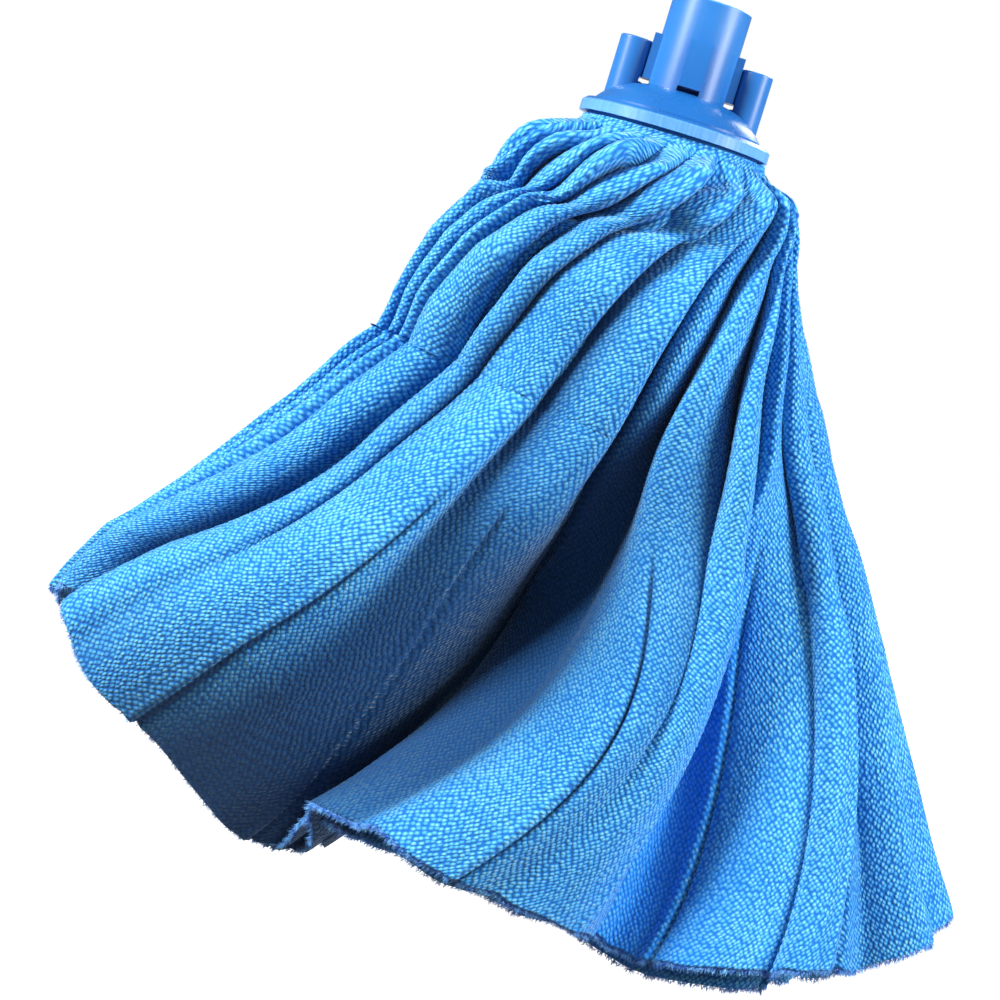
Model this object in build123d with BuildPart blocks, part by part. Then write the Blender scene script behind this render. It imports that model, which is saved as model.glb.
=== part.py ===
"""Cloth mop head: a moulded screw socket over a fan of microfibre flaps.

Millimetres, +Z up along the handle. The origin is the centre of the socket's mouth.
"""

import os
from math import cos, hypot, radians, sin, sqrt

from build123d import *

os.makedirs("parts", exist_ok=True)

# Handle socket
socket_bore_radius = 11.3       # takes a 22 mm handle end
socket_wall = 3.8
socket_depth = 35.0             # the mouth down to where the tube meets the dome
bore_depth = 36.5
socket_floor = 2.5
mouth_rounding = 0.9

# A plain, slightly wider lead-in, then a coarse thread made as short lugs on the bore wall
lead_in_depth = 12.0
lead_in_step = 0.5
seam_angle = 20.0               # where the turned surfaces close, clear of lugs, pads and ribs
lug_count = 4
lug_rows = 3
lug_pitch = 6.0
lug_height = 2.4
lug_reach = 1.3
lug_arc = 50.0

# Pads round the lower half of the tube, each with a window at its foot
pad_width = 8.4
pad_top_depth = 16.0
pad_thickness = 2.4
window_height = 1.8

# Two posts beside the tube, which take the clamp plate's pins
post_centre_radius = 23.2
post_radius = 6.3
post_top_depth = 19.5
post_roof = 3.0
post_rounding = 0.7
post_bite = 1.2                 # how far a post runs into the dome's outer wall

# Dome and flange
dome_drop = 9.5
dome_crown = 0.27               # the share of that drop halfway out
dome_margin = 2.4               # the dome's edge beyond the posts
dome_wall = 2.4
flange_step = 4.6
flange_height = 6.2
flange_wall = 2.8
rib_count = 8
rib_arc = 5.0
vent_width = 3.0

# Cloth stack and the plate that clamps it
sheet_count = 8
sheet_thickness = 1.0
stack_clearance = 0.4
plate_radius = 27.0
plate_thickness = 3.2
plate_rib_count = 6
plate_rib_height = 2.2
plate_rib_width = 1.8
plate_boss_radius = 8.0
pin_radius = 2.8
pin_clearance = 0.06
pin_tip_gap = 1.0
pin_hole_clearance = 0.4

# Cloth flaps, eight round the head, each two plies deep, spread as a wide shallow fan
flap_count = 8
cloth_length = 285.0
fan_half_width = 184.0          # at the hem, along X
fan_half_depth = 96.0           # at the hem, along Y
outer_ply_top = 4.2
outer_ply_hem = 10.0
inner_ply_top = 3.6
inner_ply_hem = 9.0
inner_ply_extra_length = 9.0
ply_gap = 0.5
flap_gap_angle = 1.2
flap_top_clearance = 0.5

# Heights and radii that follow
lead_in_radius = socket_bore_radius + lead_in_step
socket_outer_radius = socket_bore_radius + socket_wall
dome_edge_radius = post_centre_radius + post_radius + dome_margin
dome_edge_depth = socket_depth + dome_drop
flange_radius = dome_edge_radius + flange_step
flange_bottom_depth = dome_edge_depth + flange_height
skirt_inner_radius = flange_radius - flange_wall
clamp_face_depth = dome_edge_depth + dome_wall
stack_radius = skirt_inner_radius - stack_clearance
stack_bottom_depth = clamp_face_depth + sheet_count * sheet_thickness
flap_top_depth = flange_bottom_depth + flap_top_clearance
inner_ply_radius = skirt_inner_radius / cos(radians(90 / flap_count))
outer_ply_radius = inner_ply_radius + inner_ply_top + ply_gap
post_places = [(-post_centre_radius, 0), (post_centre_radius, 0)]


def turned_plane(angle):
    """The XZ plane turned about Z, its first axis pointing outwards at this angle."""
    outward = (cos(radians(angle)), sin(radians(angle)), 0)
    return Plane(origin=(0, 0, 0), x_dir=outward, z_dir=(outward[1], -outward[0], 0))


# Posts, from their rounded tops down to the clamping face
with BuildPart() as posts:
    with BuildSketch(Plane.XY.offset(-clamp_face_depth)):
        with Locations(*post_places):
            Circle(post_radius)
    extrude(amount=clamp_face_depth - post_top_depth)
    fillet(posts.edges().group_by(Axis.Z)[-1], post_rounding)

# Cap: socket tube, dome, flange, pads and posts in one moulding
with BuildPart() as socket_cap:
    dome_mid_radius = (socket_outer_radius + dome_edge_radius) / 2
    dome_mid_depth = socket_depth + dome_drop * dome_crown
    with BuildSketch(turned_plane(seam_angle)):
        with BuildLine():
            Polyline(
                (0, -clamp_face_depth),
                (0, -bore_depth),
                (socket_bore_radius, -bore_depth),
                (socket_bore_radius, -lead_in_depth - lead_in_step),
                (lead_in_radius, -lead_in_depth),
                (lead_in_radius, 0),
                (socket_outer_radius, 0),
                (socket_outer_radius, -socket_depth),
            )
            ThreePointArc(
                (socket_outer_radius, -socket_depth),
                (dome_mid_radius, -dome_mid_depth),
                (dome_edge_radius, -dome_edge_depth),
            )
            Polyline(
                (dome_edge_radius, -dome_edge_depth),
                (dome_edge_radius, -dome_edge_depth - 0.8),
                (flange_radius - 1.6, -dome_edge_depth - 1.0),
                (flange_radius, -dome_edge_depth - 2.4),
                (flange_radius, -flange_bottom_depth),
                (skirt_inner_radius, -flange_bottom_depth),
                (skirt_inner_radius, -clamp_face_depth),
                (0, -clamp_face_depth),
            )
        make_face()
    revolve(axis=Axis.Z)
    # Pockets under the dome, which leave radial ribs
    pocket_arc = 360 / rib_count - rib_arc
    pocket_inner_radius = socket_bore_radius + 1.5
    pocket_outer_radius = post_centre_radius + post_radius - post_bite
    for rib in range(rib_count):
        with BuildSketch(turned_plane((rib + 0.5) * 360 / rib_count - pocket_arc / 2)):
            with BuildLine():
                Polyline(
                    (pocket_inner_radius, -clamp_face_depth),
                    (pocket_inner_radius, -bore_depth - socket_floor),
                    (dome_mid_radius, -dome_mid_depth - dome_wall),
                    (pocket_outer_radius, -dome_edge_depth),
                    (pocket_outer_radius, -clamp_face_depth),
                    close=True,
                )
            make_face()
        revolve(axis=Axis.Z, revolution_arc=-pocket_arc, mode=Mode.SUBTRACT)
    # Hollow below the socket's floor
    with BuildSketch(Plane.XY.offset(-clamp_face_depth)):
        Circle(socket_bore_radius - 1.5)
    extrude(amount=clamp_face_depth - bore_depth - socket_floor, mode=Mode.SUBTRACT)
    add(posts.part)
    # Pads round the tube
    with BuildSketch(Plane.XY.offset(-socket_depth)):
        with PolarLocations(socket_outer_radius, lug_count):
            Rectangle(2 * pad_thickness, pad_width)
    extrude(amount=socket_depth - pad_top_depth)
    # Pin holes up into the posts
    with BuildSketch(Plane.XY.offset(-clamp_face_depth)):
        with Locations(*post_places):
            Circle(pin_radius + pin_clearance)
    extrude(amount=clamp_face_depth - post_top_depth - post_roof, mode=Mode.SUBTRACT)
    # Windows through the tube at the pads' feet
    with BuildSketch(Plane.XY.offset(-socket_depth)):
        with PolarLocations(socket_outer_radius, lug_count):
            Rectangle(3 * socket_wall, pad_width)
    extrude(amount=window_height, mode=Mode.SUBTRACT)
    # Thread lugs, a quarter pitch lower from one window to the next
    for lug in range(lug_count):
        for row in range(lug_rows):
            lug_depth = lead_in_depth + (row + (lug + 1) / lug_count) * lug_pitch
            with BuildSketch(turned_plane(lug * 360 / lug_count - lug_arc / 2)):
                with BuildLine():
                    Polyline(
                        (socket_bore_radius + 1.0, -lug_depth),
                        (socket_bore_radius, -lug_depth),
                        (socket_bore_radius - lug_reach, -lug_depth - lug_height * 0.35),
                        (socket_bore_radius - lug_reach, -lug_depth - lug_height * 0.65),
                        (socket_bore_radius, -lug_depth - lug_height),
                        (socket_bore_radius + 1.0, -lug_depth - lug_height),
                        close=True,
                    )
                make_face()
            revolve(axis=Axis.Z, revolution_arc=-lug_arc)
    # Square vents beside the tube's foot
    with BuildSketch(Plane.XY.offset(-clamp_face_depth)):
        with PolarLocations(socket_outer_radius + vent_width, 2, start_angle=218):
            Rectangle(vent_width, vent_width)
    extrude(amount=clamp_face_depth - socket_depth + 1.0, mode=Mode.SUBTRACT)
    fillet(socket_cap.edges().filter_by(GeomType.CIRCLE).filter_by_position(
        Axis.Z, -0.1, 0.1).sort_by(SortBy.RADIUS)[-1], mouth_rounding)

socket_cap.part.label = "socket_cap"
export_step(socket_cap.part, "parts/socket_cap.step")

# Plate under the cloth stack, with two pins up into the posts
with BuildPart() as clamp_plate:
    with BuildSketch(Plane.XY.offset(-stack_bottom_depth)):
        Circle(plate_radius)
    extrude(amount=-plate_thickness)
    fillet(clamp_plate.edges().group_by(Axis.Z)[0], plate_thickness * 0.6)
    with BuildSketch(Plane.XY.offset(-stack_bottom_depth - plate_thickness)):
        Circle(plate_boss_radius)
        with PolarLocations(plate_radius / 2, plate_rib_count):
            Rectangle(plate_radius - 4.0, plate_rib_width)
    extrude(amount=-plate_rib_height)
    pin_top_depth = post_top_depth + post_roof + pin_tip_gap
    with BuildSketch(Plane.XY.offset(-stack_bottom_depth)):
        with Locations(*post_places):
            Circle(pin_radius)
    extrude(amount=stack_bottom_depth - pin_top_depth)
    chamfer(clamp_plate.edges().group_by(Axis.Z)[-1], 0.5)

clamp_plate.part.label = "clamp_plate"
export_step(clamp_plate.part, "parts/clamp_plate.step")

# Middles of the cloth sheets, stacked between the cap and the plate
for sheet in range(sheet_count):
    with BuildPart() as sheet_middle:
        with BuildSketch(Plane.XY.offset(-clamp_face_depth - sheet * sheet_thickness)):
            Circle(stack_radius)
            with Locations(*post_places):
                Circle(pin_radius + pin_hole_clearance, mode=Mode.SUBTRACT)
        extrude(amount=-sheet_thickness)
    sheet_middle.part.label = f"sheet_middle_{sheet + 1}"
    export_step(sheet_middle.part, f"parts/{sheet_middle.part.label}.step")


def flap_outline(outer_x, outer_y, thickness, middle):
    """Six corners of a flap's level section: three along its outside, three back along its inside."""
    half_span = 180 / flap_count - flap_gap_angle / 2
    angles = [radians(middle + side * half_span) for side in (-1, 0, 1)]
    outside = [(outer_x * cos(a), outer_y * sin(a)) for a in angles]
    inside = [((outer_x - thickness) * cos(a), (outer_y - thickness) * sin(a)) for a in angles]
    return outside + inside[::-1]


def hem_depth(middle, length):
    """How deep a flap of this length reaches, when it leans out to the fan's edge."""
    reach_x = (fan_half_width - outer_ply_radius) * cos(radians(middle))
    reach_y = (fan_half_depth - outer_ply_radius) * sin(radians(middle))
    return flap_top_depth + sqrt(length**2 - hypot(reach_x, reach_y) ** 2)


# One ply: its top section's outer radius and thickness, then the hem's, and its length
plies = {
    "outer": (outer_ply_radius + outer_ply_top, outer_ply_top, 0.0, outer_ply_hem, cloth_length),
    "inner": (
        inner_ply_radius + inner_ply_top,
        inner_ply_top,
        outer_ply_hem + ply_gap,
        inner_ply_hem,
        cloth_length + inner_ply_extra_length,
    ),
}

for flap in range(flap_count):
    flap_middle = flap * 360 / flap_count - 90
    for ply_name, (top_radius, top_thickness, hem_inset, hem_thickness, ply_length) in plies.items():
        with BuildPart() as ply:
            with BuildSketch(Plane.XY.offset(-flap_top_depth)):
                with BuildLine():
                    Polyline(*flap_outline(top_radius, top_radius, top_thickness, flap_middle), close=True)
                make_face()
            with BuildSketch(Plane.XY.offset(-hem_depth(flap_middle, ply_length))):
                with BuildLine():
                    Polyline(
                        *flap_outline(
                            fan_half_width - hem_inset,
                            fan_half_depth - hem_inset,
                            hem_thickness,
                            flap_middle,
                        ),
                        close=True,
                    )
                make_face()
            loft(ruled=True)
        ply.part.label = f"flap_{flap + 1}_{ply_name}"
        export_step(ply.part, f"parts/{ply.part.label}.step")
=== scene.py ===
import math

import bpy
import numpy as np
from mathutils import Matrix, Vector


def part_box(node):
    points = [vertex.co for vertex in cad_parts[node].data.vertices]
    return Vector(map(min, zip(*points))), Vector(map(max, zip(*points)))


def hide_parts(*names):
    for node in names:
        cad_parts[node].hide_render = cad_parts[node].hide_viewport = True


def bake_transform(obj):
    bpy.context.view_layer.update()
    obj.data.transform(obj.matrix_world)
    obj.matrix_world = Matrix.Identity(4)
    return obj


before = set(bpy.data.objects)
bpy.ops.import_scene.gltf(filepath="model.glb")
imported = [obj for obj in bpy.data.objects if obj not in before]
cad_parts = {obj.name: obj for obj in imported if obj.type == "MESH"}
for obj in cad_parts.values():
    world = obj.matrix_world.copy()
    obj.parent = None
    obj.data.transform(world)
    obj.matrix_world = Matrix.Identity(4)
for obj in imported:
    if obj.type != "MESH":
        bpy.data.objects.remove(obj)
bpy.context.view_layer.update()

# everything is in metres, in the frame of the CAD part: +Z up along the handle socket
mm = 0.001
capLow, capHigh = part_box("socket_cap")
flangeRadius = capHigh.x
flangeBottom = capLow.z
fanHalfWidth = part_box("flap_3_outer")[1].x
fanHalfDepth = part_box("flap_5_outer")[1].y
flapCount = sum(1 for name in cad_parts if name.endswith("_outer"))


view = {
    "lookAt": (-22 * mm, 0, -200 * mm),
    "distance": 900 * mm,
    "above": 6.0,          # degrees the camera stands above the level of what it looks at
    "lean": 17.0,          # degrees the camera rolls, so that the mop leans to the right
    "width": 380 * mm,     # how much it takes in, at the distance looked at
}


def makeCamera():
    target = Vector(view["lookAt"])
    rise = math.radians(view["above"])
    back = Vector((0, -math.cos(rise), math.sin(rise)))
    lean = math.radians(view["lean"])
    level = Vector((1, 0, 0))
    upright = back.cross(level)
    right = math.cos(lean) * level + math.sin(lean) * upright
    up = back.cross(right)
    camera = bpy.data.objects.new("camera", bpy.data.cameras.new("camera"))
    bpy.context.scene.collection.objects.link(camera)
    turn = Matrix((right, up, back)).transposed().to_4x4()
    camera.matrix_world = Matrix.Translation(target + back * view["distance"]) @ turn
    camera.data.sensor_width = 36
    camera.data.lens = 36 * view["distance"] / view["width"]
    camera.data.clip_start = 0.01
    camera.data.clip_end = 30
    bpy.context.scene.camera = camera


makeCamera()
print("camera done")


# wraps a shader socket so that sums read as sums
class Socket:
    def __init__(self, graph, socket):
        self.graph = graph
        self.socket = socket

    def maths(self, operation, *values):
        inputs = dict(enumerate(values))
        return self.graph.node("ShaderNodeMath", {"operation": operation}, inputs)[0]

    def __add__(self, other):
        return self.maths("ADD", self, other)

    def __sub__(self, other):
        return self.maths("SUBTRACT", self, other)

    def __mul__(self, other):
        return self.maths("MULTIPLY", self, other)

    def __rsub__(self, other):
        return self.maths("SUBTRACT", other, self)

    def root(self):
        return self.maths("SQRT", self)

    # runs smoothly from toLow to toHigh as this goes from low to high
    def between(self, low, high, toLow=0.0, toHigh=1.0):
        settings = {"interpolation_type": "SMOOTHSTEP"}
        inputs = {0: self, 1: low, 2: high, 3: toLow, 4: toHigh}
        return self.graph.node("ShaderNodeMapRange", settings, inputs)[0]


# one material's nodes; a node's outputs come back as a list of sockets
class Graph:
    def __init__(self, name):
        self.material = bpy.data.materials.new(name)
        self.material.use_nodes = True
        self.tree = self.material.node_tree
        self.shader = self.tree.nodes["Principled BSDF"]

    def node(self, kind, settings=None, inputs=None):
        made = self.tree.nodes.new(kind)
        for key, value in (settings or {}).items():
            setattr(made, key, value)
        for key, value in (inputs or {}).items():
            self.feed(made.inputs[key], value)
        return [Socket(self, output) for output in made.outputs]

    def feed(self, target, value):
        if isinstance(value, Socket):
            self.tree.links.new(value.socket, target)
        else:
            target.default_value = value

    def set(self, **values):
        for key, value in values.items():
            self.feed(self.shader.inputs[key.replace("_", " ")], value)

    # a mix of two colours, which are sockets 6 and 7 of the node and its output 2
    def mix(self, factor, first, second, blend="MIX"):
        settings = {"data_type": "RGBA", "blend_type": blend}
        return self.node("ShaderNodeMix", settings, {0: factor, 6: first, 7: second})[2]

    def noise(self, place, scale, detail=3.0, roughness=0.55):
        inputs = {"Vector": place, "Scale": scale, "Detail": detail, "Roughness": roughness}
        return self.node("ShaderNodeTexNoise", None, inputs)[0]

    def attribute(self, name):
        return self.node("ShaderNodeAttribute", {"attribute_name": name})[2]    # as one number

    def objectPlace(self):
        return self.node("ShaderNodeTexCoord")[3]    # its Object output

    def bump(self, height, distance, strength=1.0, under=None):
        inputs = {"Height": height, "Distance": distance, "Strength": strength}
        if under is not None:
            inputs["Normal"] = under
        return self.node("ShaderNodeBump", None, inputs)[0]


# a colour as seen on a screen, 0 to 255, turned to light
def colour(red, green, blue):
    def light(value):
        value /= 255
        return value / 12.92 if value <= 0.04045 else ((value + 0.055) / 1.055) ** 2.4
    return (light(red), light(green), light(blue), 1.0)


microfibre = {
    # painted highlight on the loops' tips and painted shade in the gaps between them; the middle lies
    # between
    "tipHighlight": colour(134, 208, 240),
    "middle": colour(66, 164, 228),
    "gapShade": colour(22, 106, 190),
    # painted shade for the fold creases, the slits and the fan's valleys
    "paintedShade": colour(0, 52, 100),
    "paintedGlow": colour(8, 124, 232),      # painted glow: deep blue painted into recesses, as of light that still reaches them
    "tipHighlightShare": 0.85,                 # how fully each of these three covers what is under it
    "paintedGlowShare": 0.85,
    "paintedShadeShare": 0.94,
    "innerShade": 0.8,                # painted shade: the inner plies are a copy of the cloth darker by this factor
    "jitter": 0.45,                   # how unevenly the loops stand
    "speckle": 0.32,                  # unevenness inside a loop
    "patchiness": 0.45,               # unevenness from one area of the cloth to the next
    "loopDepth": 0.55 * mm,
    "sheen": 0.35,
}


def makeMicrofibre(name, shade=1.0):
    graph = Graph(name)
    paintedShade = graph.attribute("paintedShade")
    place = graph.objectPlace()
    # counts loops across and along the cloth
    loops = graph.node("ShaderNodeUVMap", {"uv_map": "loops"})[0]
    across, down, _ = graph.node("ShaderNodeSeparateXYZ", None, {0: loops})
    # turned coordinates, in which every whole-numbered point is one loop of the staggered rows
    diagonals = {0: across + down * 0.5, 1: across - down * 0.5}
    turned = graph.node("ShaderNodeCombineXYZ", None, diagonals)[0]
    cell = graph.node(
        "ShaderNodeTexVoronoi", {"feature": "F1", "voronoi_dimensions": "2D"},
        {"Vector": turned, "Scale": 1.0, "Randomness": microfibre["jitter"]},
    )
    chance = graph.node("ShaderNodeSeparateColor", None, {0: cell[1]})[0]
    speckle = graph.noise(loops, 4.0, 2.0, 0.6)
    patches = graph.noise(place, 30.0, 4.0)
    pile = cell[0].between(0.72, 0.05) * (chance * 0.45 + 0.62)
    height = pile + (speckle - 0.5) * microfibre["speckle"]
    tone = height + (patches - 0.5) * microfibre["patchiness"]
    # the colour follows the loops' height, with painted shade in the gaps and painted highlight on the
    # tips, and real random patches of tone on top
    base = graph.mix(tone.between(0.10, 0.50), microfibre["gapShade"], microfibre["middle"])
    base = graph.mix(tone.between(0.50, 1.0) * microfibre["tipHighlightShare"], base, microfibre["tipHighlight"])
    # painted glow in recesses, where the mask is below 0, then painted shade in creases, slits and valleys
    paintedGlowMix = (0.0 - paintedShade).between(0.05, 0.8) * microfibre["paintedGlowShare"]
    base = graph.mix(paintedGlowMix, base, microfibre["paintedGlow"])
    paintedShadeMix = paintedShade.between(0.05, 0.9) * microfibre["paintedShadeShare"]
    base = graph.mix(paintedShadeMix, base, microfibre["paintedShade"])
    # painted shade: a darker copy for the inner plies
    if shade != 1.0:
        base = graph.mix(1.0, base, (shade, shade, shade, 1), "MULTIPLY")
    graph.set(
        Base_Color=base,
        Roughness=speckle.between(0.2, 0.8, 0.78, 0.95),
        Normal=graph.bump(height, microfibre["loopDepth"]),
        Sheen_Weight=microfibre["sheen"],
        Sheen_Roughness=0.35,
        Sheen_Tint=colour(200, 230, 255),
        Specular_IOR_Level=0.25,
    )
    return graph.material


plastic = {
    "body": colour(26, 94, 164),
    "pale": colour(40, 114, 186),
    "plateBody": colour(30, 86, 172),
    "platePale": colour(44, 106, 192),
    "scuff": colour(120, 184, 240),
    "wear": 0.6,              # how far the scuffed colour covers the rims
    "rimWidth": 0.9 * mm,
    "roughness": 0.28,
    "flowScale": 22.0,        # noise scales, per metre
    "scratchScale": 700.0,
    "grainScale": 1600.0,
}


def makePlastic(name, body, pale):
    graph = Graph(name)
    place = graph.objectPlace()
    flow = graph.noise(place, plastic["flowScale"], 1.0)
    grain = graph.noise(place, plastic["grainScale"], 2.0)
    upright = {"Vector": place, "Scale": (1.0, 1.0, 0.12)}    # scratches run up and down
    stretched = graph.node("ShaderNodeMapping", None, upright)[0]
    scratches = graph.noise(stretched, plastic["scratchScale"], 2.0)
    # worn pale on the flange's rim and on the mouth of the tube
    x, y, z = graph.node("ShaderNodeSeparateXYZ", None, {0: place})
    radius = (x * x + y * y).root()
    rim = plastic["rimWidth"]
    rims = radius.between(flangeRadius - rim, flangeRadius) + z.between(-rim, 0.0)
    wear = rims * scratches.between(0.1, 0.7, 0.6, 1.0)
    base = graph.mix(flow.between(0.3, 0.7), body, pale)
    base = graph.mix(wear * plastic["wear"], base, plastic["scuff"])
    roughness = flow.between(0.2, 0.8, plastic["roughness"] - 0.05, plastic["roughness"] + 0.08)
    graph.set(
        Base_Color=base,
        Roughness=roughness + scratches.between(0.3, 0.8) * 0.06,
        Normal=graph.bump(scratches, 0.02 * mm, 0.25, graph.bump(grain, 0.03 * mm, 0.35)),
        Subsurface_Weight=0.12,
        Subsurface_Radius=(0.3, 0.6, 1.0),
        Subsurface_Scale=1.5 * mm,
        IOR=1.49,
    )
    return graph.material


fibre = {
    "deep": colour(30, 105, 205),
    "pale": colour(120, 195, 250),
    "patchScale": 400.0,      # per metre
    "roughness": 0.8,
    "sheen": 0.5,
}


def makeFibre():
    graph = Graph("fibre")
    patches = graph.noise(graph.objectPlace(), fibre["patchScale"], 2.0)
    graph.set(
        Base_Color=graph.mix(patches.between(0.35, 0.65), fibre["deep"], fibre["pale"]),
        Roughness=fibre["roughness"],
        Sheen_Weight=fibre["sheen"],
    )
    return graph.material


microfibreMaterial = makeMicrofibre("microfibre")
fibreMaterial = makeFibre()
innerMaterial = makeMicrofibre("microfibre_inner", microfibre["innerShade"])
capMaterial = makePlastic("cap_plastic", plastic["body"], plastic["pale"])
plateMaterial = makePlastic("plate_plastic", plastic["plateBody"], plastic["platePale"])
print("materials done")


fan = {
    "hemLength": 285 * mm,       # flange to hem
    "startRadius": flangeRadius - 2.4 * mm,    # where the cloth comes out, under the flange
    "topRadius": flangeRadius + 2.5 * mm,      # where it starts to hang
    "topGap": 1.0 * mm,
    "bulge": 9 * mm,             # how far the gathered cloth stands out below the flange
    "bulgeAlong": 0.055,
    "shortLeft": 9 * mm,         # how much less the left of the hem reaches out
    "shoulder": 8 * mm,          # how far the cloth sags beside the flange, on the left
    "shoulderAlong": 0.09,
    "spread": 0.05,              # how much of the length the bulge and the shoulder each take
    "waist": 6 * mm,             # how far front and back are drawn in at half height
    "sweepMean": 52.0,           # degrees by which the folds lead round at the flange
    "sweepSwing": 46.0,
    "sweepCentre": -143.0,
    "sweepFade": 7.0,
    "leadMean": 17.0,            # the part of that sweep that lasts all the way down
    "leadSwing": 15.0,
    "leadCentre": -120.0,
    "wander": 2.6,               # degrees by which fold lines wander
}

# broad hills and valleys of the whole fan: angle round at the hem, width, height, where along it
# comes in, and the degrees by which it lies further round at the flange; the last number, where
# given, is how strongly painted shade darkens the cloth there, and one below 0 paints a glow instead
swells = [
    {"angle": -122, "width": 13, "height": -52 * mm, "from": 0.22, "to": 0.75, "drift": 30},
    {"angle": -92, "width": 10, "height": 10 * mm, "from": 0.25, "to": 0.75, "drift": 16},
    {"angle": -68, "width": 8, "height": -23 * mm, "from": 0.35, "to": 0.65, "paintedShadeStrength": -1.0},
    {"angle": -50, "width": 9, "height": 11 * mm, "from": 0.30, "to": 0.60},
    {"angle": -36, "width": 6, "height": -10 * mm, "from": 0.30, "to": 0.65, "paintedShadeStrength": 0.7},
    {"angle": -147, "width": 11, "height": 12 * mm, "from": 0.30, "to": 0.70, "drift": 12},
    {"angle": -162, "width": 6, "height": -20 * mm, "from": 0.08, "to": 0.40},
    {"angle": 14, "width": 7, "height": -9 * mm, "from": 0.35, "to": 0.70},
    {"angle": 60, "width": 11, "height": -14 * mm, "from": 0.40, "to": 0.85},
    {"angle": 88, "width": 14, "height": 8 * mm, "from": 0.30, "to": 0.70},
    {"angle": 114, "width": 9, "height": -15 * mm, "from": 0.40, "to": 0.80},
    {"angle": 150, "width": 7, "height": -8 * mm, "from": 0.35, "to": 0.70},
]

# where the hem is drawn up
hemLifts = [
    {"angle": -158, "width": 20, "height": 31 * mm},
    {"angle": 172, "width": 16, "height": 10 * mm},
    {"angle": -125, "width": 9, "height": -24 * mm},
    {"angle": -100, "width": 15, "height": 17 * mm},
    {"angle": -78, "width": 10, "height": 7 * mm},
    {"angle": -63, "width": 8, "height": -10 * mm},
    {"angle": -48, "width": 22, "height": -2 * mm},
    {"angle": -33, "width": 7, "height": -8 * mm},
    {"angle": -19, "width": 12, "height": -9 * mm},
]

# how far the fan's outline stands out from a plain cone on each side, in mm, by share of its length
outline = {
    "along": [0.0, 0.05, 0.15, 0.23, 0.33, 0.40, 0.50, 0.70, 0.85, 1.0],
    "left": [0, 1, 3, 3, -5, -14, -8, 2, 6, -1],
    "right": [0, 0, -3, -6, -6, -9, -9, -6, -2, 1],
}


# 0 up to low and 1 from high on, with a smooth step between
def smooth(low, high, value):
    share = np.clip((value - low) / (high - low), 0, 1)
    return share * share * (3 - 2 * share)


# a rounded bump: 1 at nought, gone beyond about twice the width
def hump(distance, width):
    return np.exp(-((distance / width) ** 2))


# gentle unevenness between about -1 and 1, over two coordinates
def waves(first, second, seed, count=6):
    chance = np.random.default_rng(seed)
    total = np.zeros(np.broadcast(first, second).shape)
    for _ in range(count):
        heading, size = chance.uniform(0, 2 * math.pi), chance.uniform(0.6, 1.8)
        place = first * math.cos(heading) + second * math.sin(heading)
        total += np.sin(size * place + chance.uniform(0, 6.28))
    return total / math.sqrt(count)


# degrees from one direction to another, the short way
def around(angle, centre):
    return (angle - centre + 180) % 360 - 180


# how strongly a swell is felt at each point
def swellShare(swell, angle, along):
    centre = swell["angle"] + swell.get("drift", 0) * (1 - along)
    felt = hump(around(angle, centre), swell["width"])
    return felt * smooth(swell["from"], swell["to"], along)


# points of the fan without its folds: angle in degrees at the hem, along from flange to hem
def clothBase(angle, along, inset, length):
    sweep = fan["sweepMean"] + fan["sweepSwing"] * np.cos(np.radians(angle - fan["sweepCentre"]))
    lead = fan["leadMean"] + fan["leadSwing"] * np.cos(np.radians(angle - fan["leadCentre"]))
    sweep = (sweep - lead) * (1 - along) ** fan["sweepFade"] + lead * (1 - along**2.5)
    wander = fan["wander"] * waves(angle / 14, along * 7, 5) * smooth(0.05, 0.4, along)
    turned = np.radians(angle + sweep + wander * (1 - 0.6 * along))
    left = np.clip(-np.cos(np.radians(angle)), 0, 1)
    right = np.clip(np.cos(np.radians(angle)), 0, 1)
    hemX = fanHalfWidth - inset - fan["shortLeft"] * left
    hemY = fanHalfDepth - inset
    reach = np.hypot(
        (hemX - fan["topRadius"]) * np.cos(np.radians(angle)),
        (hemY - fan["topRadius"]) * np.sin(np.radians(angle)),
    )
    drop = np.sqrt(length**2 - reach**2)
    swell = sum(s["height"] * swellShare(s, angle, along) for s in swells)
    halfway = np.sin(math.pi * smooth(0.08, 0.95, along)) ** 2
    waist = -fan["waist"] * halfway * (1 - left) * (1 - right)
    waist = waist + np.interp(along, outline["along"], outline["left"]) * mm * left**1.5
    waist = waist + np.interp(along, outline["along"], outline["right"]) * mm * right**1.5
    bulge = fan["bulge"] * (0.45 + 0.3 * left) * hump(along - fan["bulgeAlong"], fan["spread"])
    sag = fan["shoulder"] * left**2 * hump(along - fan["shoulderAlong"], fan["spread"])
    # each ply starts under the flange and is hanging freely by a twentieth of its length
    hanging = smooth(0.0, 0.05, along)
    topRadius = fan["topRadius"] - inset * 0.45
    start = (fan["startRadius"] - inset * 0.3) * (1 - hanging)
    proud = swell + waist + bulge
    radiusX = (topRadius + (hemX - topRadius) * along + proud) * hanging + start
    radiusY = (topRadius + (hemY - topRadius) * along + proud) * hanging + start
    top = flangeBottom - fan["topGap"] - inset * 0.4
    z = top - drop * along - sag
    return np.stack([radiusX * np.cos(turned), radiusY * np.sin(turned), z], axis=-1)


def unit(vectors):
    return vectors / np.maximum(np.linalg.norm(vectors, axis=-1, keepdims=True), 1e-12)


# normals of a grid of points, rows from flange to hem and columns from left to right
def outward(points):
    down = np.gradient(points, axis=0)
    across = np.gradient(points, axis=1)
    return unit(np.cross(down, across))


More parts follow.
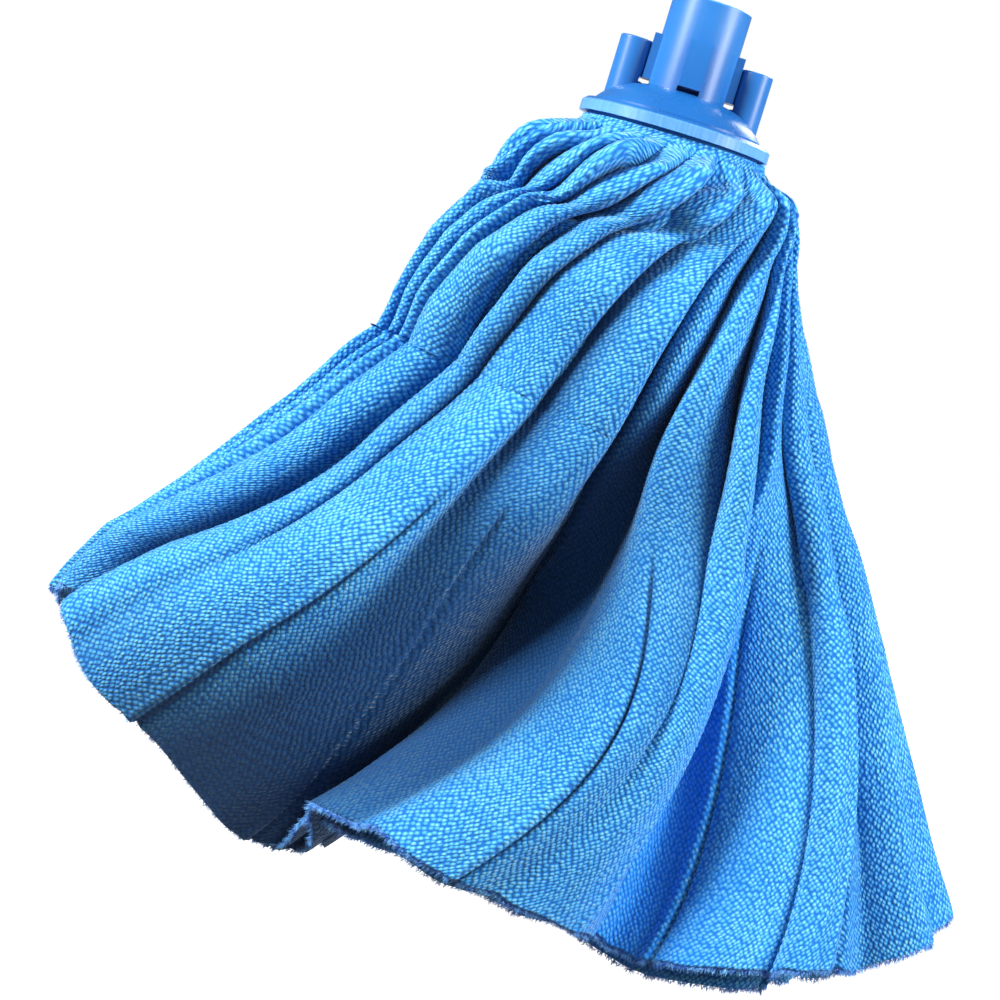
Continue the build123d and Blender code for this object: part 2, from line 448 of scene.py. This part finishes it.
# each flap's look: its span in degrees at the hem, its count of folds, how high they stand at the
# top, in the middle and at the hem in mm, how they lean and overhang, the pitch of its loops across
# and along in mm, and where across it the slits are; the rest as in the dictionary that follows
flapLooks = [
    {"from": -112, "to": -71, "folds": 3, "top": 6.0, "middle": 6.0, "hem": 2.4,
     "lean": 0.25, "shear": -0.9, "loop": (2.2, 1.15), "slits": (0.56, 0.90), "ripple": 1.5},
    {"from": -71, "to": -38, "folds": 2, "top": 4.2, "middle": 6.0, "hem": 3.2,
     "lean": -0.3, "shear": -0.6, "loop": (2.1, 1.25), "slits": (0.33, 0.77)},
    {"from": -38, "to": 14, "folds": 4, "top": 4.0, "middle": 5.0, "hem": 4.2,
     "lean": 0.15, "shear": 0.5, "loop": (2.1, 1.25), "slits": (0.45,)},
    {"from": 14, "to": 62, "folds": 3, "top": 4.8, "middle": 6.0, "hem": 3.2,
     "lean": 0.3, "shear": 0.6, "loop": (2.2, 1.15), "slits": (0.35, 0.7)},
    {"from": 62, "to": 112, "folds": 3, "top": 4.8, "middle": 5.4, "hem": 2.8,
     "lean": -0.25, "shear": -0.8, "loop": (2.2, 1.15), "slits": (0.28, 0.62)},
    {"from": 112, "to": 150, "folds": 3, "top": 5.0, "middle": 5.0, "hem": 3.6,
     "lean": 0.2, "shear": 0.7, "loop": (2.2, 1.2), "slits": (0.5,)},
    {"from": 150, "to": 184, "folds": 4, "top": 5.2, "middle": 3.8, "hem": 3.2,
     "lean": 0.1, "shear": 0.9, "loop": (2.4, 1.25), "slits": (0.4,), "rightUnder": 1, "curls": 2.0},
    {"from": -176, "to": -112, "folds": 4, "top": 6.4, "middle": 4.2, "hem": 1.2,
     "lean": -0.2, "shear": 0.9, "loop": (2.4, 1.25), "slits": (0.61, 0.81), "leftUnder": 0, "curls": 2.4},
]

usualLook = {
    "ripple": 1.1,        # mm, across the folds in the upper half
    "curls": 0.6,         # mm, of the small curls beside the flange
    "leftUnder": 1,       # whether the left edge runs under the flap before
    "rightUnder": 0,
}

ply = {
    "columns": 164,
    "rows": 400,
    "thickness": 2.4 * mm,
    "loopHeight": 0.55 * mm,
    "overlap": 3.2,           # degrees by which a flap's left edge runs under the one before it
    "tuck": 4.6 * mm,         # how deep it runs there
    "turnDown": 1.6 * mm,     # how far the edges curl inwards, and over what width
    "slitDepth": 1.9 * mm,
    "slitWidth": 1.0 * mm,
    "slitInner": 0.7,         # the inner plies' slits, as a share of the outer ones'
    "lipHeight": 1.3 * mm,
    "lipWidth": 1.6 * mm,
    "lipAway": 2.8 * mm,
    "innerInset": 12 * mm,    # how far the inner plies lie inside the outer ones
    "innerExtra": -1 * mm,    # how much longer they are
    "innerFolds": 0.55,       # the height of their folds, as a share of the outer ones'
    "steepest": 0.42,         # no fold stands higher than this share of its width
    "overhang": 0.75,         # how far the folds' sides draw together, 1 being upright
    "small": 1.5,             # mm, of the unevenness on top of the folds
    "hemCurl": 2.5,           # mm
    "hemUneven": (3.0, 0.8),  # mm, broad and fine
    "shadedValley": 36 * mm,  # a valley of the fan this deep gets the full painted shade
}


# counts loops across and along the cloth, wandering a little as knitted rows do
def loopPlaces(across, down, pitch, seed):
    wideWander = waves(across / (6 * mm), down / (12 * mm), seed + 21)
    longWander = waves(across / (12 * mm), down / (7 * mm), seed + 22)
    return across / (pitch[0] * mm) + 0.35 * wideWander, down / (pitch[1] * mm) + 0.40 * longWander


# rounded loops in staggered rows: 0 in the gaps, 1 on the tips
def pileHeight(first, second):
    loops = np.cos(2 * math.pi * first) * np.cos(math.pi * second)
    return np.clip(0.5 + 0.5 * loops, 0, 1) ** 0.8


# the height of a flap's folds, which changes from top to middle to hem
def foldHeight(look, along, pitch, inner):
    middle = smooth(0.05, 0.4, along)
    hem = smooth(0.45, 0.9, along)
    height = look["top"] * (1 - middle) + look["middle"] * middle
    height = height * (1 - hem) + look["hem"] * hem
    height = np.minimum(height * mm, ply["steepest"] * pitch) * smooth(0.0, 0.045, along)
    return height * (ply["innerFolds"] if inner else 1.0)


# unevenness that lies on top of the folds, in metres
def unevenness(look, share, along, seed):
    small = ply["small"] * mm * waves(share * 15, along * 9, seed + 5)
    small = small * smooth(0.02, 0.2, along) * (1 - 0.75 * smooth(0.4, 0.8, along))
    ripple = look["ripple"] * mm * waves(share * 3, along * 26, seed + 7)
    ripple = ripple * smooth(0.15, 0.3, along) * (1 - smooth(0.45, 0.7, along))
    curls = look["curls"] * mm * waves(share * 14, along * 60, seed + 15)
    curls = curls * smooth(0.01, 0.04, along) * (1 - smooth(0.10, 0.22, along))
    return small + ripple + curls


# slits run up from the hem, with a raised lip beside each
def slitHeight(look, across, along, columns, inner):
    slit = np.zeros(across.shape)
    for place in look["slits"]:
        away = across - across[:, int(place * columns)][:, None]
        depth = smooth(0.42 + 0.08 * (place > 0.5), 0.6, along)
        depth = depth * (ply["slitInner"] if inner else 1.0)
        slit -= depth * ply["slitDepth"] * hump(away, ply["slitWidth"])
        slit += depth * ply["lipHeight"] * hump(away + ply["lipAway"], ply["lipWidth"])
    return slit


# painted shade at each point: 1 is the deepest painted shade, in fold creases near the top, in slits and
# in the fan's valleys, and below 0 is a painted glow
def paintedShadeAmount(turn, slit, angle, along):
    low = np.clip(0.5 - 0.5 * np.cos(turn), 0, 1) ** 1.5 * smooth(0.0, 0.06, along)
    low = low * (1 - 0.75 * smooth(0.3, 0.8, along))
    deep = np.clip(-slit / ply["slitDepth"], 0, 1) * 0.8
    valley = np.zeros(slit.shape)
    for s in swells:
        if s["height"] < 0:
            paintedShadeStrength = s.get("paintedShadeStrength", 1.0) * -s["height"] / ply["shadedValley"]
            valley = valley + swellShare(s, angle, along) ** 0.6 * paintedShadeStrength
    return np.clip(np.maximum(low * 0.95, deep) + valley, -1, 1)


# one ply's surface: its points and normals, its painted shade, and the cloth's own two lengths
def foldedPly(number, inner, rows, columns):
    look = usualLook | flapLooks[number]
    inset = ply["innerInset"] if inner else 0.0
    length = fan["hemLength"] + (ply["innerExtra"] if inner else 0.0)
    share = np.linspace(0, 1, columns + 1)[None, :]
    along = np.linspace(0, 1, rows + 1)[:, None]
    seed = 17 * number + (9 if inner else 0)
    span = look["to"] - look["from"] + ply["overlap"]
    angle = look["to"] - (1 - share) * span + 0 * along
    base = clothBase(angle, along + 0 * share, inset, length)
    normal = outward(base)
    side = unit(np.gradient(base, axis=1))
    width = np.linalg.norm(np.diff(base, axis=1), axis=-1).sum(axis=1)[:, None]
    pitch = width / look["folds"]
    inside = np.sin(math.pi * share)      # 0 at both edges
    # folds: wide rounded ridges between narrow creases, straightening towards the hem
    warp = 0.20 * waves(share * 4, along * 2.5, seed) + 0.06 * waves(share * 9, along * 8, seed + 1)
    phase = share * look["folds"] + 0.5 + warp * inside
    phase = phase + look["lean"] * inside * (along - 0.4)
    turn = 2 * math.pi * phase
    strength = 1 + 0.4 * waves(share * 4, along * 5, seed + 3)
    fold = foldHeight(look, along, pitch, inner) * strength * np.cos(turn)
    slide = ply["overhang"] * pitch / (2 * math.pi) * np.sin(turn)
    slide = slide * (1 - 0.55 * smooth(0.5, 1.0, along))
    slide = (slide + look["shear"] * fold) * inside**0.35
    proud = fold + unevenness(look, share, along, seed)
    points = base + normal * proud[..., None] + side * slide[..., None]
    # the hem is drawn up in places and cut unevenly, and curls
    lift = sum(h["height"] * hump(around(angle, h["angle"]), h["width"]) for h in hemLifts)
    points[..., 2] += lift * smooth(0.55, 1.0, along)
    broad = ply["hemUneven"][0] * mm * waves(share * 7, 0 * along, seed + 11)
    fine = ply["hemUneven"][1] * mm * waves(share * 40, 0 * along, seed + 12)
    points[..., 2] += (broad + fine) * smooth(0.8, 1.0, along)
    curl = ply["hemCurl"] * mm * waves(share * 9, along, seed + 13) * smooth(0.9, 1.0, along)
    points += normal * curl[..., None]
    steps = np.diff(points, axis=1, prepend=points[:, :1])
    across = np.cumsum(np.linalg.norm(steps, axis=-1), axis=1)
    across -= across[:, columns // 2][:, None]
    slit = slitHeight(look, across, along, columns, inner)
    # the left edge runs under the flap before, and both edges turn down
    sunk = (1 - smooth(0.02, 0.13, share)) * look["leftUnder"]
    sunk = sunk + smooth(0.87, 0.98, share) * look["rightUnder"]
    turnDown = np.exp(-(1 - share) * width / ply["turnDown"])
    turnDown = turnDown + np.exp(-share * width / ply["turnDown"])
    edges = (-ply["tuck"] * sunk - ply["turnDown"] * turnDown) * smooth(0.02, 0.15, along)
    points += normal * (slit + edges)[..., None]
    downCloth = along * length + 0 * share
    return points, outward(points), paintedShadeAmount(turn, slit, angle, along), across, downCloth


# a cloth mesh with a fine front, a back with half as many rows and columns, and a rim between them
def closedCloth(name, points, normals, paintedShade, first, second):
    front = points + normals * (pileHeight(first, second) * ply["loopHeight"])[..., None]
    back = (points - normals * ply["thickness"])[::2, ::2]
    rows, columns = front.shape[:2]
    backRows, backColumns = back.shape[:2]
    fore = np.arange(rows * columns).reshape(rows, columns)
    rear = np.arange(backRows * backColumns).reshape(backRows, backColumns) + rows * columns
    quads = [fore[:-1, :-1], fore[1:, :-1], fore[1:, 1:], fore[:-1, 1:]]
    quads = np.stack(quads, axis=-1).reshape(-1, 4)
    backQuads = [rear[:-1, :-1], rear[:-1, 1:], rear[1:, 1:], rear[1:, :-1]]
    backQuads = np.stack(backQuads, axis=-1).reshape(-1, 4)
    # the rim goes once round: down the left, along the hem, up the right and back along the top
    outer = np.concatenate([fore[:, 0], fore[-1, 1:], fore[-2::-1, -1], fore[0, -2:0:-1]])
    inside = np.concatenate([rear[:, 0], rear[-1, 1:], rear[-2::-1, -1], rear[0, -2:0:-1]])
    one, two, three = outer[0::2], outer[1::2], np.roll(outer[0::2], -1)
    low, high = inside, np.roll(inside, -1)
    rimFaces = [(one, low, two), (two, low, high), (two, high, three)]
    rim = np.concatenate([np.stack(face, -1) for face in rimFaces])
    mesh = bpy.data.meshes.new(name)
    corners = np.concatenate([quads.ravel(), backQuads.ravel(), rim.ravel()])
    sizes = np.concatenate([np.full(len(quads) + len(backQuads), 4), np.full(len(rim), 3)])
    places = np.concatenate([front.reshape(-1, 3), back.reshape(-1, 3)])
    mesh.vertices.add(len(places))
    mesh.vertices.foreach_set("co", places.ravel().astype(np.float32))
    mesh.loops.add(len(corners))
    mesh.loops.foreach_set("vertex_index", corners.astype(np.int32))
    mesh.polygons.add(len(sizes))
    starts = np.concatenate([[0], np.cumsum(sizes)[:-1]])
    mesh.polygons.foreach_set("loop_start", starts.astype(np.int32))
    mesh.polygons.foreach_set("use_smooth", np.ones(len(sizes), bool))
    mesh.update(calc_edges=True)
    # what is known at each front point holds at the back point behind it too
    paintedShades, firsts, seconds = (
        np.concatenate([grid.ravel(), grid[::2, ::2].ravel()]) for grid in (paintedShade, first, second)
    )
    # the mask of painted shade, and of painted glow where it is below 0
    shade = mesh.attributes.new("paintedShade", "FLOAT", "POINT")
    shade.data.foreach_set("value", paintedShades.astype(np.float32))
    loopMap = np.stack([firsts, seconds], -1)[corners]
    loops = mesh.uv_layers.new(name="loops")
    loops.data.foreach_set("uv", loopMap.ravel().astype(np.float32))
    piece = bpy.data.objects.new(name, mesh)
    bpy.context.scene.collection.objects.link(piece)
    return piece


fringe = {
    "fibres": 2600,           # on each outer ply, and half as many on each inner one
    "length": 2.6 * mm,
    "thickness": 0.16 * mm,
    "spread": 0.75,           # how far fibres stray from the way the cloth runs
    "scatter": 0.4 * mm,
    "shortest": 0.45,         # as shares of the length
    "longest": 1.3,
    "seed": 3,
}


# sets a tapering fibre on each point, along the point's own direction
def fringeTree():
    tree = bpy.data.node_groups.new("hemFringe", "GeometryNodeTree")
    tree.interface.new_socket("Geometry", in_out="INPUT", socket_type="NodeSocketGeometry")
    for label in ("Length", "Thickness", "Spread"):
        tree.interface.new_socket(label, in_out="INPUT", socket_type="NodeSocketFloat")
    tree.interface.new_socket("Seed", in_out="INPUT", socket_type="NodeSocketInt")
    tree.interface.new_socket("Geometry", in_out="OUTPUT", socket_type="NodeSocketGeometry")

    def add(kind, settings=None, inputs=None):
        made = tree.nodes.new(kind)
        for key, value in (settings or {}).items():
            setattr(made, key, value)
        for key, value in (inputs or {}).items():
            if isinstance(value, bpy.types.NodeSocket):
                tree.links.new(value, made.inputs[key])
            else:
                made.inputs[key].default_value = value
        return made

    given = add("NodeGroupInput").outputs
    points = add("GeometryNodeMeshToPoints", None, {"Mesh": given["Geometry"]})
    vector = {"data_type": "FLOAT_VECTOR"}
    heading = add("GeometryNodeInputNamedAttribute", vector, {"Name": "heading"})
    chance = add(
        "FunctionNodeRandomValue", vector,
        {0: (-1.0, -1.0, -1.0), 1: (1.0, 1.0, 1.0), "Seed": given["Seed"]},
    )
    stray = add(
        "ShaderNodeVectorMath", {"operation": "SCALE"},
        {0: chance.outputs[0], "Scale": given["Spread"]},
    )
    aim = add(
        "ShaderNodeVectorMath", {"operation": "ADD"},
        {0: heading.outputs[0], 1: stray.outputs[0]},
    )
    turn = add("FunctionNodeAlignRotationToVector", {"axis": "Z"}, {"Vector": aim.outputs[0]})
    size = add(
        "FunctionNodeRandomValue", {"data_type": "FLOAT"},
        {2: fringe["shortest"], 3: fringe["longest"], "Seed": given["Seed"]},
    )
    cone = add(
        "GeometryNodeMeshCone", {"fill_type": "NGON"},
        {"Vertices": 3, "Radius Top": 0.0, "Radius Bottom": given["Thickness"], "Depth": given["Length"]},
    )
    placed = add("GeometryNodeInstanceOnPoints", None, {
        "Points": points.outputs[0], "Instance": cone.outputs[0],
        "Rotation": turn.outputs[0], "Scale": size.outputs[1],
    })
    plain = add("GeometryNodeRealizeInstances", None, {0: placed.outputs[0]})
    dyeing = {0: plain.outputs[0], "Material": fibreMaterial}
    dyed = add("GeometryNodeSetMaterial", None, dyeing)
    tree.links.new(dyed.outputs[0], add("NodeGroupOutput").inputs[0])
    return tree


# loose fibres along a hem: hem is its row of points, heading the way the cloth runs there
def makeFringe(number, inner, hem, heading):
    chance = np.random.default_rng(500 + 2 * number + inner)
    count = fringe["fibres"] // (2 if inner else 1)
    place = chance.uniform(0, len(hem) - 1.001, count)
    step, part = place.astype(int), (place % 1)[:, None]
    roots = hem[step] * (1 - part) + hem[step + 1] * part
    roots = roots + chance.uniform(-1, 1, (count, 3)) * fringe["scatter"]
    mesh = bpy.data.meshes.new("hem")
    mesh.vertices.add(count)
    mesh.vertices.foreach_set("co", roots.ravel().astype(np.float32))
    headings = mesh.attributes.new("heading", "FLOAT_VECTOR", "POINT")
    headings.data.foreach_set("vector", heading[step].ravel().astype(np.float32))
    source = bpy.data.objects.new("hem", mesh)
    bpy.context.scene.collection.objects.link(source)
    modifier = source.modifiers.new("fringe", "NODES")
    modifier.node_group = hemFringe
    wanted = {
        "Length": fringe["length"], "Thickness": fringe["thickness"],
        "Spread": fringe["spread"], "Seed": fringe["seed"] + number,
    }
    for item in hemFringe.interface.items_tree:
        if item.in_out == "INPUT" and item.name in wanted:
            modifier[item.identifier] = wanted[item.name]
    evaluated = source.evaluated_get(bpy.context.evaluated_depsgraph_get())
    fibres = bpy.data.meshes.new_from_object(evaluated)
    bpy.data.objects.remove(source)
    kind = "inner" if inner else "outer"
    piece = bpy.data.objects.new(f"fringe_{number + 1}_{kind}", fibres)
    bpy.context.scene.collection.objects.link(piece)
    bendWithFlap(piece)
    return piece


def bendWithFlap(piece):
    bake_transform(piece)


def makePly(number, inner):
    kind = "inner" if inner else "outer"
    coarser = 2 if inner else 1
    rows, columns = ply["rows"] // coarser, ply["columns"] // coarser
    points, normals, paintedShade, across, downCloth = foldedPly(number, inner, rows, columns)
    first, second = loopPlaces(across, downCloth, flapLooks[number]["loop"], 40 + number)
    name = f"cloth_{number + 1}_{kind}"
    piece = closedCloth(name, points, normals, paintedShade, first, second)
    piece.data.materials.append(innerMaterial if inner else microfibreMaterial)
    area = sum(p.area for p in piece.data.polygons) / 2
    bendWithFlap(piece)
    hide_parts(f"flap_{number + 1}_{kind}")
    hem = points[-1] - normals[-1] * ply["thickness"] * 0.5
    heading = unit(points[-1] - points[-6])      # over the last five rows
    return piece, area, makeFringe(number, inner, hem, heading)


hemFringe = fringeTree()
for number in range(flapCount):
    for inner in (False, True):
        piece, area, fibres = makePly(number, inner)
        faces = len(piece.data.polygons), len(fibres.data.polygons)
        print(piece.name, "square metres", round(area, 4), "faces", *faces)
print("cloth done")


# the plastic and the sheets' middles keep their shape
keptMaterials = {
    "socket_cap": capMaterial,
    "clamp_plate": plateMaterial,
    # the sheets' middles take the darker copy, with its painted shade
    "sheet_middle": innerMaterial,
}
for name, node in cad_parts.items():
    for start, material in keptMaterials.items():
        if name.startswith(start):
            node.data.materials.clear()
            node.data.materials.append(material)
print("plastic done")


studio = {
    "floor": -0.75,          # its height, well below the mop
    "floorReach": 12,
    "floorColour": (0.92, 0.92, 0.92, 1),
    "white": 1.0,            # how bright the surroundings look
    "ambient": 0.20,         # and how much light they give
    "aim": (-0.02, 0, -0.24),
    "lights": {
        "key": {"place": (-0.90, -0.50, 0.35), "size": 0.30, "power": 25},
        "right": {"place": (0.92, -0.42, 0.32), "size": 0.55, "power": 21},
        "back": {"place": (0.3, 0.9, 0.6), "size": 0.6, "power": 8},
    },
}


def makeFloor():
    mesh = bpy.data.meshes.new("floor")
    reach = studio["floorReach"]
    corners = [(-reach, -reach, 0), (reach, -reach, 0), (reach, reach, 0), (-reach, reach, 0)]
    mesh.from_pydata(corners, [], [(0, 1, 2, 3)])
    floor = bpy.data.objects.new("floor", mesh)
    bpy.context.scene.collection.objects.link(floor)
    floor.location.z = studio["floor"]
    graph = Graph("floor")
    graph.set(
        Base_Color=studio["floorColour"], Roughness=0.9,
        Emission_Color=(1, 1, 1, 1), Emission_Strength=1.0,
    )
    mesh.materials.append(graph.material)
    floor.visible_diffuse = False


def makeLight(name, place, size, power):
    data = bpy.data.lights.new(name, "AREA")
    data.shape = "DISK"
    data.size = size
    data.energy = power
    light = bpy.data.objects.new(name, data)
    bpy.context.scene.collection.objects.link(light)
    light.location = place
    aim = Vector(studio["aim"]) - Vector(place)
    light.rotation_euler = aim.to_track_quat("-Z", "Y").to_euler()


def makeWorld():
    world = bpy.data.worlds.new("studio")
    bpy.context.scene.world = world
    world.use_nodes = True
    tree = world.node_tree
    seen = tree.nodes.new("ShaderNodeLightPath")
    strength = tree.nodes.new("ShaderNodeMix")     # its numbers are sockets 2 and 3
    strength.inputs[2].default_value = studio["ambient"]
    strength.inputs[3].default_value = studio["white"]
    background = tree.nodes["Background"]
    background.inputs["Color"].default_value = (1, 1, 1, 1)
    tree.links.new(seen.outputs["Is Camera Ray"], strength.inputs[0])
    tree.links.new(strength.outputs[0], background.inputs["Strength"])


makeFloor()
for name, light in studio["lights"].items():
    makeLight(name, **light)
makeWorld()
bpy.context.scene.view_settings.view_transform = "Standard"
print("studio done")
